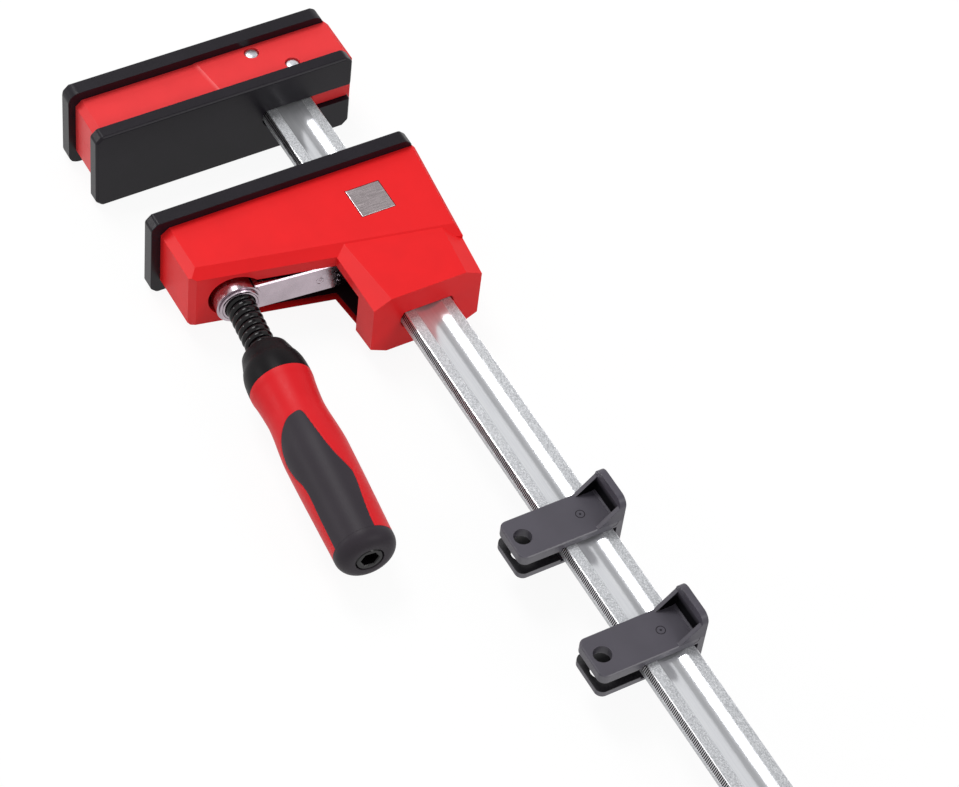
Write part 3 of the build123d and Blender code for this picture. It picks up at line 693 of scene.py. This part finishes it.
def badge_seam():
    """Narrow dark seam around the badge."""
    low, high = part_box("badge_plate")
    width, rise = 0.35 * MM, 0.03 * MM
    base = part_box("moving_jaw_housing")[1][2] - rise
    strips = []
    sides = [((low[0] - width, low[1] - width), (high[0] + width, low[1])),
             ((low[0] - width, high[1]), (high[0] + width, high[1] + width)),
             ((low[0] - width, low[1]), (low[0], high[1])), ((high[0], low[1]), (high[0] + width, high[1]))]
    for (x0, y0), (x1, y1) in sides:
        corners = [(x0, y0), (x1, y0), (x1, y1), (x0, y1)]
        strips.append([[(x, y, z) for x, y in corners] for z in (base, base + 1.5 * rise)])
    return prisms("badge_seam", strips)


placed(badge_seam(), "jaw", "red_plastic", seam_plastic)
placed(softened("rail_end_stop", "end_stop_cap", 0.6 * MM), "rail_body", "black_plastic", ferrule_black,
       "rail_end_stop")


# Arm and screw

arm_forging = softened("sliding_arm", "arm_forging", 0.28 * MM, segments=2)
placed(arm_forging, "arm", "cast_steel", arm_metal, "sliding_arm")


def nut_face():
    """Round boss at the screw with a stepped rim on its face."""
    start, end = along_screw("screw_nut")
    outer, inner = 10.6 * MM, 7.9 * MM
    stations = [(start, 9 * MM), (end - 1.4 * MM, 9 * MM), (end - 1.4 * MM, outer - 0.2 * MM),
                (end - 1.2 * MM, outer), (end - 0.5 * MM, outer), (end - 0.15 * MM, outer - 0.4 * MM),
                (end - 0.15 * MM, outer - 1.1 * MM), (end - 0.5 * MM, outer - 1.25 * MM),
                (end - 0.15 * MM, outer - 1.4 * MM), (end, outer - 1.7 * MM),
                (end, inner + 0.4 * MM), (end - 0.4 * MM, inner), (start, inner)]
    return ring_lathe("nut_flange", stations)


placed(nut_face(), "arm", "bright_steel", arm_metal, "screw_nut")


# each mark's distance along the arm, height and radius, in mm
ARM_MARKS = [(43.4, -0.4, 2.2), (43.6, 0.2, 1.0), (53.6, 0.2, 0.9), (53.3, -3.4, 0.9)]


def arm_marks():
    """Small round forging marks on the arm's rear face."""
    marks = []
    for index, (along, height, radius) in enumerate(ARM_MARKS):
        centre = screw_origin + arm_way * along * MM + UP * height * MM - screw_way * 0.04 * MM
        outer, inner = radius * MM, (radius - 0.5) * MM
        marks.append(raised_ring("mark_%d" % index, centre, screw_way, outer, inner, 0.24 * MM))
    return shaded(joined("arm_marks", marks))


placed(arm_marks(), "arm", "cast_steel", arm_metal)


def screw_thread():
    """The spindle with its coarse rounded thread, its neck and its tang."""
    tip, tail = along_screw("screw_spindle")
    ferrule = along_screw("handle_ferrule")[0]
    crest, root, pitch = 7.8 * MM, 5.8 * MM, 4.2 * MM
    start = tip + 17 * MM
    end = ferrule + 4.6 * MM
    segments = 96
    step = pitch / 28
    rows = int((end - start) / step) + 1
    points = []
    for row in range(rows):
        along = start + (end - start) * row / (rows - 1)
        fade = min(1, (along - start) / (1.2 * pitch))
        for segment in range(segments):
            angle = 2 * math.pi * segment / segments
            turn_share = (along / pitch - angle / (2 * math.pi)) % 1
            swell = math.sqrt(max(0, 1 - (2 * turn_share - 1) ** 2))
            points.append(on_screw(along, angle, root + (crest - root) * fade * swell))
    faces = grid_faces(rows, segments, closed=True)
    faces.append(tuple(range(segments)))
    faces.append(tuple(reversed(range((rows - 1) * segments, rows * segments))))
    thread = mesh_object("thread", points, faces, 70)
    neck = lathe("neck", [(tip, 0), (tip, 4.6 * MM), (tip + 0.4 * MM, 5 * MM), (start + 0.5 * MM, 5 * MM),
                          (start + 0.5 * MM, 0)])
    tang = lathe("tang", [(end - 0.5 * MM, 0), (end - 0.5 * MM, 5.5 * MM), (tail - 0.5 * MM, 5.5 * MM),
                          (tail, 5 * MM), (tail, 0)])
    return shaded(joined("screw_thread", [thread, neck, tang]), 75)


placed(screw_thread(), "screw", "black_steel", black_metal, "screw_spindle")


# Handle

handle_start, ferrule_end = along_screw("handle_ferrule")
cap_start, handle_end = along_screw("handle_end_cap")

# radius of the red body at distances from the handle's start, in mm
BODY_CURVE = [(21.5, 16.4), (25, 16.3), (29, 15.75), (36, 15.1), (43.5, 14.7), (50, 15.0), (58, 15.7),
              (68.5, 16.33), (85, 16.18), (105, 15.83), (122.5, 15.48)]


def body_radius(along):
    return smooth_curve(BODY_CURVE, (along - handle_start) / MM) * MM


def ferrule_piece():
    """Black collar in front of the red body, through (distance, radius) places in mm."""
    x = handle_start
    outline = [(0, 8.4), (0, 9.3), (0.35, 10.1), (0.9, 11.2), (1.3, 11.7), (1.9, 12.1), (6, 13.3),
               (9.6, 14.25), (10.3, 14.75), (12.4, 15.4), (14.8, 15.9), (18, 16.2), (21.5, 16.36),
               (23.3, 16.3), (23.45, 16.1), (23.45, 12.0), (5.0, 12.0), (5.0, 8.0)]
    return ring_lathe("ferrule_collar", [(x + a * MM, r * MM) for a, r in outline], 128, 24)


placed(ferrule_piece(), "screw", "black_plastic", ferrule_black, "handle_ferrule")

# edges of the upper soft panel: distance from the handle's start in mm, degrees around from straight up
PANEL_LOBE = [(50.5, 14), (51.4, 34), (53.5, 47), (56.5, 60), (60, 71), (65, 80), (72, 85), (80, 80),
              (88, 70), (95, 67.5), (105, 70), (120, 72), (131, 73)]
PANEL_EDGE = [(50.5, 14), (51.2, 7), (54, 3), (60, 0.5), (72, -5.5), (82, -14), (88.5, -23),
              (93.5, -29.5), (99, -28.5), (110, -23), (122, -19), (131, -18)]


def panel_span(along):
    """Angles of the upper panel's two edges at a place along the screw, or None before its tip."""
    place = (along - handle_start) / MM
    if place < PANEL_LOBE[0][0]:
        return None
    return smooth_curve(PANEL_EDGE, place), smooth_curve(PANEL_LOBE, place)


def body_piece():
    """Red body of the handle, set in under the soft panels."""
    rows, segments = 200, 240
    under = 0.7 * MM
    points = []
    start, end = ferrule_end, cap_start
    for row in range(rows):
        along = start + (end - start) * row / (rows - 1)
        span = panel_span(along)
        for segment in range(segments):
            degrees = 360 * segment / segments
            radius = body_radius(along)
            for half_turn in (0, 180):
                if span:
                    place = (degrees - half_turn + 180) % 360 - 180
                    if span[0] + 1.5 < place < span[1] - 1.5:
                        radius -= under
            points.append(on_screw(along, math.radians(degrees), radius))
    faces = grid_faces(rows, segments, closed=True)
    outer = mesh_object("body_skin", points, faces, 50)
    collar = lathe("body_ends", [(start, 0), (start, body_radius(start) - 0.3 * MM),
                                 (start + 0.4 * MM, body_radius(start)), (start + 0.8 * MM, 5 * MM),
                                 (start + 0.8 * MM, 0)], 120)
    return shaded(joined("handle_body", [outer, collar]), 50)


def panel_rows():
    """Places along the screw for the panel's rows, close together at its tip."""
    first = handle_start + PANEL_LOBE[0][0] * MM
    last = cap_start + 0.2 * MM
    count = 130
    return [first + (last - first) * (step / count) ** 1.7 for step in range(count + 1)]


def panel_piece(name, half_turn):
    """Soft grip panel: a thumb lobe at the front that runs back as a strip."""
    columns = 40
    rim = 0.5 * MM
    rows = panel_rows()
    shells = []
    for depth in (0, 1.3 * MM):
        points = []
        for along in rows:
            low, high = panel_span(along)
            for column in range(columns + 1):
                share = column / columns
                degrees = low + (high - low) * share
                edge = min(share, 1 - share) * math.radians(high - low) * 16 * MM
                sink = 0.35 * MM * max(0, 1 - edge / rim) ** 2
                points.append(on_screw(along, math.radians(degrees + half_turn),
                                       body_radius(along) + 0.06 * MM - sink - depth))
        shells.append(points)
    width = columns + 1
    faces = grid_faces(len(rows), width)
    below = [tuple(reversed([i + len(shells[0]) for i in face])) for face in faces]
    last = len(rows) - 1
    border = [(0, c) for c in range(width)] + [(r, width - 1) for r in range(1, last + 1)]
    border += [(last, c) for c in range(width - 2, -1, -1)] + [(r, 0) for r in range(last - 1, 0, -1)]
    ring = [r * width + c for r, c in border]
    sides = []
    for index, here in enumerate(ring):
        there = ring[(index + 1) % len(ring)]
        sides.append((here, there, there + len(shells[0]), here + len(shells[0])))
    return welded(mesh_object(name, shells[0] + shells[1], faces + below + sides, 40), 0.01 * MM, 40)


def tube(name, centres, normals, radius, sides=8):
    """Thin closed-ended tube along a row of points."""
    points = []
    for index, centre in enumerate(centres):
        ahead = centres[min(index + 1, len(centres) - 1)]
        behind = centres[max(index - 1, 0)]
        way = (ahead - behind).normalized()
        normal = normals[index]
        across = way.cross(normal).normalized()
        for side in range(sides):
            angle = 2 * math.pi * side / sides
            points.append(centre + (normal * math.cos(angle) + across * math.sin(angle)) * radius)
    faces = grid_faces(len(centres), sides, closed=True)
    faces.append(tuple(range(sides)))
    faces.append(tuple(reversed(range((len(centres) - 1) * sides, len(centres) * sides))))
    return mesh_object(name, points, faces, 60)


def panel_bead(name, half_turn):
    """Fine raised lip of the red body around a panel."""
    rows = panel_rows()[1:-1]
    gap = 0.25 * MM
    places = [(along, panel_span(along)[0], -1) for along in reversed(rows)]
    places += [(along, panel_span(along)[1], 1) for along in rows]
    centres = []
    normals = []
    for along, degrees, side in places:
        angle = math.radians(degrees + half_turn) + side * gap / body_radius(along)
        centres.append(on_screw(along, angle, body_radius(along) - 0.14 * MM))
        normals.append((on_screw(along, angle, 1) - on_screw(along, angle, 0)).normalized())
    return tube(name, centres, normals, 0.27 * MM)


body_parts = [body_piece(), panel_bead("bead_upper", 0), panel_bead("bead_lower", 180)]
placed(shaded(joined("handle_red_body", body_parts), 50), "screw", "red_handle", red_handle, "handle_core")
placed(panel_piece("grip_panel_upper", 0), "screw", "grip_rubber", soft_grip, "handle_grip_upper")
placed(panel_piece("grip_panel_lower", 180), "screw", "grip_rubber", soft_grip, "handle_grip_lower")


def end_cap_piece():
    """Rounded black end, with the recess for the insert."""
    length = handle_end - cap_start
    reach = body_radius(cap_start)
    flat = 8.6 * MM
    stations = [(cap_start - 0.1 * MM, 7.2 * MM), (cap_start - 0.1 * MM, reach - 0.25 * MM),
                (cap_start + 0.15 * MM, reach)]
    steps = 18
    for step in range(1, steps + 1):
        angle = math.pi / 2 * step / steps
        stations.append((cap_start + length * (0.12 + 0.88 * math.sin(angle)),
                         flat + (reach - flat) * math.cos(angle) ** 0.9))
    stations += [(handle_end, 7.5 * MM), (handle_end - 0.25 * MM, 7.25 * MM), (handle_end - 2 * MM, 7.2 * MM)]
    return ring_lathe("end_cap_dome", stations, 128, 30)


def insert_piece():
    """Steel insert with a hexagon socket."""
    start, end = along_screw("hex_insert")
    radius, flats, depth = 6.8 * MM, 8 * MM, 9 * MM
    segments = 96
    rows = [(start, 0), (start, radius), (end - 0.5 * MM, radius), (end, radius - 0.5 * MM)]
    points = []
    for along, reach in rows:
        points += [on_screw(along, 2 * math.pi * s / segments, reach) for s in range(segments)]
    for along, grow in ((end, 0.5 * MM), (end - 0.5 * MM, 0), (end - depth, 0), (end - depth, -flats / 2)):
        for s in range(segments):
            angle = 2 * math.pi * s / segments
            around = (angle + math.pi / 6) % (math.pi / 3) - math.pi / 6
            reach = (flats / 2) / math.cos(around)
            points.append(on_screw(along, angle, max(0, reach + grow) if grow > -flats / 3 else 0))
    faces = grid_faces(len(points) // segments, segments, closed=True)
    return welded(mesh_object("hex_socket_insert", points, faces, 30), 0.002 * MM, 30)


placed(end_cap_piece(), "screw", "grip_rubber", soft_grip, "handle_end_cap")
placed(insert_piece(), "screw", "black_steel", black_metal, "hex_insert")


# Rivet pins

def pin_piece(node, name):
    """Rivet pin with a flat-crowned domed head at each end."""
    low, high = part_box(node)
    x, y = (low[0] + high[0]) / 2, (low[1] + high[1]) / 2
    middle = (low[2] + high[2]) / 2
    top = high[2] - middle
    head = (high[0] - low[0]) / 2
    seat = top - 5 * MM
    half = [(0, 3 * MM), (seat, 3 * MM), (seat, head), (top - 1.3 * MM, head)]
    for step in range(1, 9):
        angle = math.pi / 2 * step / 8
        half.append((top - 1.3 * MM * (1 - math.sin(angle)), head * math.cos(angle) ** 0.75))
    stations = [(-z, r) for z, r in reversed(half)] + half[1:]
    segments = 48
    points = []
    for z, radius in stations:
        for s in range(segments):
            angle = 2 * math.pi * s / segments
            points.append((x + radius * math.cos(angle), y + radius * math.sin(angle), middle + z))
    faces = grid_faces(len(stations), segments, closed=True)
    return welded(mesh_object(name, points, faces, 40), 0.002 * MM, 40)


for side in ("near", "far"):
    node = "fixed_jaw_pin_" + side
    placed(pin_piece(node, "rivet_" + side), "rail_body", "bright_steel", rivet_metal, node)


# Clips

# sizes of a clip in mm, as in its solid
CLIP_WALL = 3.4
CLIP_GUSSET = 2.2
CLIP_LIP = 15.0
CLIP_CROWN = 5.0
CLIP_RUN = 11.0
CLIP_SLOT = 9.1            # from the leaf's top down to the middle of the slot between the leaves
CLIP_SLOT_HALF = 3.5
CLIP_HOLE_TO_MARK = 38.1
CLIP_SCAR = 5.6


def clip_levels(side):
    """A clip's corners, the height of its leaf's top and the place of its lip's inner face."""
    low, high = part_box("rail_clip_" + side)
    return low, high, high[2] - CLIP_LIP * MM, high[1] - CLIP_WALL * MM


def clip_satin():
    """Grey plastic with painted shade that darkens the slot between the leaves, and glossier on the leaves'
    far sides.
    """
    look = Look("clip_grey")
    leaf_top = clip_levels("near")[2]
    rail_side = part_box("rail")[0][1]
    fine = look.noise(0.45 * MM, 4.0, rough=0.6)
    cloud = look.noise(CLOUD, 2.0)
    height = look.part_of(look.coordinates, "Z")
    across = look.part_of(look.coordinates, "Y")
    half = CLIP_SLOT_HALF * MM
    # mask of the painted shade: the slot's height band, short of the rail's side
    above = look.beside(leaf_top - CLIP_SLOT * MM, half + 0.1 * MM, half + 0.3 * MM, "Z")
    reach = look.ranged(across, 1, 0, rail_side - 0.3 * MM, rail_side)
    slot = look.product(look.ranged(above, 1, 0, 0, 1), reach)
    lit = look.mottled(cloud, CLIP_GREY, 0.08)
    # painted shade: a dark copy of the clip's grey, blended in over the slot
    dark = look.mottled(cloud, shade_of(CLIP_GREY, 0.15), 0.08)
    side = look.ranged(look.turned("X"), 0, 1, 0.3, 0.7)
    leaf = look.ranged(height, 1, 0, leaf_top, leaf_top + 0.3 * MM)
    gloss = look.ranged(look.product(side, leaf), 0.45, 1.0, 0, 1)
    look.link(gloss, look.shader.inputs["Specular IOR Level"])
    return look.finish(look.blended(slot, lit, dark), fine, (0.37, 0.49), 0.014 * MM)


clip_plastic = clip_satin()


def clip_marks(side):
    """Ejector ring with its centre dot on the leaf, and an arc on the gusset's side."""
    low, high, leaf_top = clip_levels(side)[:3]
    centre = Vector(((low[0] + high[0]) / 2, low[1] + CLIP_HOLE_TO_MARK * MM, leaf_top))
    ring = raised_ring("ring", centre, UP, 2.4 * MM, 1.95 * MM, 0.08 * MM)
    dot = raised_ring("dot", centre, UP, 0.6 * MM, 0.05 * MM, 0.08 * MM)
    middle = Vector((high[0], high[1] - CLIP_SCAR * MM, leaf_top))
    bend = [math.radians(-95 + 100 * step / 12) for step in range(13)]
    arc = [middle + Vector((-0.03 * MM, math.cos(a) * 2.6 * MM, math.sin(a) * 2.4 * MM)) for a in bend]
    scar = tube("scar", arc, [Vector((1, 0, 0))] * len(arc), 0.14 * MM, 6)
    return shaded(joined("clip_marks_" + side, [ring, dot, scar]))


def clip_pocket_shade(side):
    """Dark skin of painted shade in the corner between a clip's leaf, lip and gusset."""
    low, high, leaf_top, lip = clip_levels(side)
    crown = high[2] - CLIP_CROWN * MM
    skin = 0.05 * MM
    left, right = low[0] + CLIP_GUSSET * MM, high[0] - CLIP_GUSSET * MM
    points = []
    faces = []
    for back in (0, skin):
        points += [(left, lip - back, leaf_top), (right, lip - back, leaf_top), (right, lip - back, crown),
                   (left, lip - back, crown)]
    faces += [(0, 1, 2, 3), (7, 6, 5, 4), (0, 4, 5, 1), (1, 5, 6, 2), (2, 6, 7, 3), (3, 7, 4, 0)]
    wall = [(lip - (CLIP_RUN - 0.4) * MM, leaf_top), (lip, leaf_top), (lip, crown - 0.3 * MM)]
    prism(points, faces, [(left, y, z) for y, z in wall], [(left + skin, y, z) for y, z in wall])
    return mesh_object("clip_pocket_shade_" + side, points, faces)


def clip_ledge(side):
    """Narrow ledge at the lip's foot."""
    low, high, leaf_top, lip = clip_levels(side)
    section = [(lip, leaf_top), (lip - 1.4 * MM, leaf_top), (lip - 1.2 * MM, leaf_top + 0.5 * MM),
               (lip, leaf_top + 0.6 * MM)]
    ends = (low[0] + CLIP_GUSSET * MM, high[0] - CLIP_GUSSET * MM)
    return prisms("clip_ledge_" + side, [[[(x, y, z) for y, z in section] for x in ends]])


for side in ("near", "far"):
    node = "rail_clip_" + side
    shell = softened(node, "clip_moulding_" + side, 0.5 * MM)
    placed(shell, "clip_" + side, "clip_plastic", clip_plastic, node)
    placed(clip_marks(side), "clip_" + side, "clip_plastic", clip_shade)
    placed(clip_pocket_shade(side), "clip_" + side, "clip_plastic", pocket_shade_paint)
    placed(clip_ledge(side), "clip_" + side, "clip_plastic", clip_plastic)


# Pieces that keep their CAD form

inner_finish = [
    (core_metal, ["fixed_jaw_core", "moving_jaw_core"]),
    (inner_plastic, ["rail_guide_front", "rail_guide_rear"]),
    (bright_metal, ["thrust_plate", "shoe_retainer", "thrust_shoe", "shoe_ring", "arm_brake_spring",
                    "handle_cross_pin", "end_stop_pin"]),
]
for material, kept in inner_finish:
    for node in kept:
        nodes[node].data.materials.clear()
        nodes[node].data.materials.append(material)


# Floor, light and camera

def light_paths(tree):
    """1 where a ray comes from the camera, a reflection or a refraction."""
    paths = tree.nodes.new("ShaderNodeLightPath")
    seen = paths.outputs["Is Camera Ray"]
    for ray in ("Is Glossy Ray", "Is Transmission Ray"):
        either = tree.nodes.new("ShaderNodeMath")
        either.operation = "MAXIMUM"
        tree.links.new(seen, either.inputs[0])
        tree.links.new(paths.outputs[ray], either.inputs[1])
        seen = either.outputs["Value"]
    return seen


def rectangle(name, place, size):
    """Level rectangle around a place."""
    half_x, half_y = size[0] / 2, size[1] / 2
    x, y, z = place
    corners = [(x + i * half_x, y + j * half_y, z) for i, j in ((-1, -1), (1, -1), (1, 1), (-1, 1))]
    return mesh_object(name, corners, [(0, 1, 2, 3)])


def pale_floor():
    low = cad_box[0]
    reach = 14.0
    height = low[2] - 0.3 * MM
    floor = rectangle("floor", (0, 0, height), (2 * reach, 2 * reach))
    material = bpy.data.materials.new("pale_floor")
    material.use_nodes = True
    tree = material.node_tree
    tree.nodes.clear()
    diffuse = tree.nodes.new("ShaderNodeBsdfDiffuse")
    diffuse.inputs["Color"].default_value = (0.7, 0.7, 0.7, 1)
    white = tree.nodes.new("ShaderNodeEmission")
    white.inputs["Strength"].default_value = 1.05
    share = tree.nodes.new("ShaderNodeMath")
    share.operation = "MULTIPLY"
    share.inputs[1].default_value = 0.88
    tree.links.new(light_paths(tree), share.inputs[0])
    mix = tree.nodes.new("ShaderNodeMixShader")
    output = tree.nodes.new("ShaderNodeOutputMaterial")
    tree.links.new(share.outputs["Value"], mix.inputs["Fac"])
    tree.links.new(diffuse.outputs["BSDF"], mix.inputs[1])
    tree.links.new(white.outputs["Emission"], mix.inputs[2])
    tree.links.new(mix.outputs["Shader"], output.inputs["Surface"])
    floor.data.materials.append(material)


def studio_world():
    world = bpy.data.worlds.new("studio")
    bpy.context.scene.world = world
    world.use_nodes = True
    tree = world.node_tree
    background = tree.nodes["Background"]
    strength = tree.nodes.new("ShaderNodeMapRange")
    strength.inputs["To Min"].default_value = 0.5
    strength.inputs["To Max"].default_value = 1.0
    tree.links.new(light_paths(tree), strength.inputs["Value"])
    tree.links.new(strength.outputs["Result"], background.inputs["Strength"])
    background.inputs["Color"].default_value = (1, 1, 1, 1)


def soft_box(name, place, target, size, power):
    light = bpy.data.lights.new(name, "AREA")
    light.shape = "RECTANGLE"
    light.size, light.size_y = size
    light.energy = power
    obj = bpy.data.objects.new(name, light)
    bpy.context.scene.collection.objects.link(obj)
    obj.location = place
    obj.rotation_euler = (Vector(target) - Vector(place)).to_track_quat("-Z", "Y").to_euler()
    obj.visible_camera = False


def grey_card(place, size):
    """Card that only reflections see, which gives flat metal and gloss something darker than the floor."""
    card = rectangle("grey_card", place, size)
    material = bpy.data.materials.new("grey_card")
    material.use_nodes = True
    tree = material.node_tree
    tree.nodes.clear()
    glow = tree.nodes.new("ShaderNodeEmission")
    glow.inputs["Strength"].default_value = 0.30
    output = tree.nodes.new("ShaderNodeOutputMaterial")
    tree.links.new(glow.outputs["Emission"], output.inputs["Surface"])
    card.data.materials.append(material)
    card.visible_camera = False
    card.visible_diffuse = False
    card.visible_shadow = False


def photo_camera():
    """Camera whose lens, place and turn were fitted to the photo's edges and corners."""
    camera = bpy.data.cameras.new("camera")
    camera.lens = 120.366
    camera.sensor_width = 36
    camera.clip_end = 50
    obj = bpy.data.objects.new("camera", camera)
    bpy.context.scene.collection.objects.link(obj)
    right = Vector((0.484345, 0.870499, 0.087421))
    up = Vector((-0.701098, 0.326424, 0.633963))
    back = Vector((0.523328, -0.368347, 0.768407))
    turned = Matrix((right, up, back)).transposed().to_4x4()
    obj.matrix_world = Matrix.Translation((1.02459, -0.51432, 1.19806)) @ turned
    bpy.context.scene.camera = obj


pale_floor()
studio_world()
soft_box("key", (-0.8, -0.13, 1.75), (-0.8, -0.13, 0), (1.0, 0.64), 20)
soft_box("rim", (-1.3, -1.9, 0.9), (0.1, 0, 0), (0.5, 0.3), 8.5)
soft_box("fill", (1.9, 0.9, 1.3), (0.15, 0, 0), (0.9, 0.6), 9)
grey_card((-0.5, 0.67, 1.75), (2.6, 0.92))
photo_camera()
bpy.context.scene.view_settings.view_transform = "Standard"
